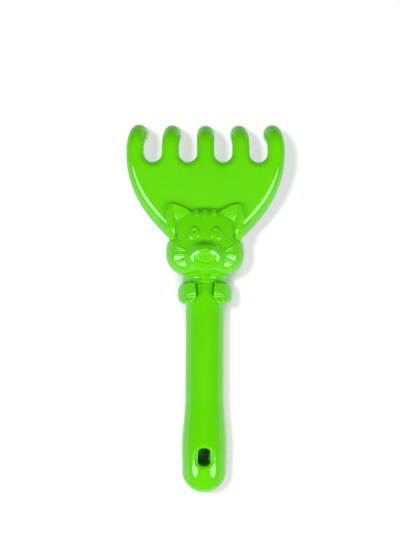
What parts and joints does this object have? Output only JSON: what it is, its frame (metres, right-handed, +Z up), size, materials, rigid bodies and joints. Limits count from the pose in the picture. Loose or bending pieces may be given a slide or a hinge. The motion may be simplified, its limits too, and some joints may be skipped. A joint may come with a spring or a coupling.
{
  "type": "toy sand rake",
  "caption": "Child's sand rake in glossy green plastic: fan blade with bent tines, kitten-face socket with paws, and a channel-backed handle with a hang slot.",
  "frame": {"origin": "middle of the bounding box, at the ground plane that the tine tips, the socket and the handle's back rim rest on", "axes": "+X across the blade, +Y along the handle towards the tines, +Z up out of the kitten's face"},
  "size_m": [0.0546, 0.13, 0.0199],
  "materials": {
    "green_plastic": "gloss"
  },
  "bodies": {
    "root": {"rake_blade": "green_plastic", "kitten_socket": "green_plastic", "handle": "green_plastic"}
  },
  "joints": []
}
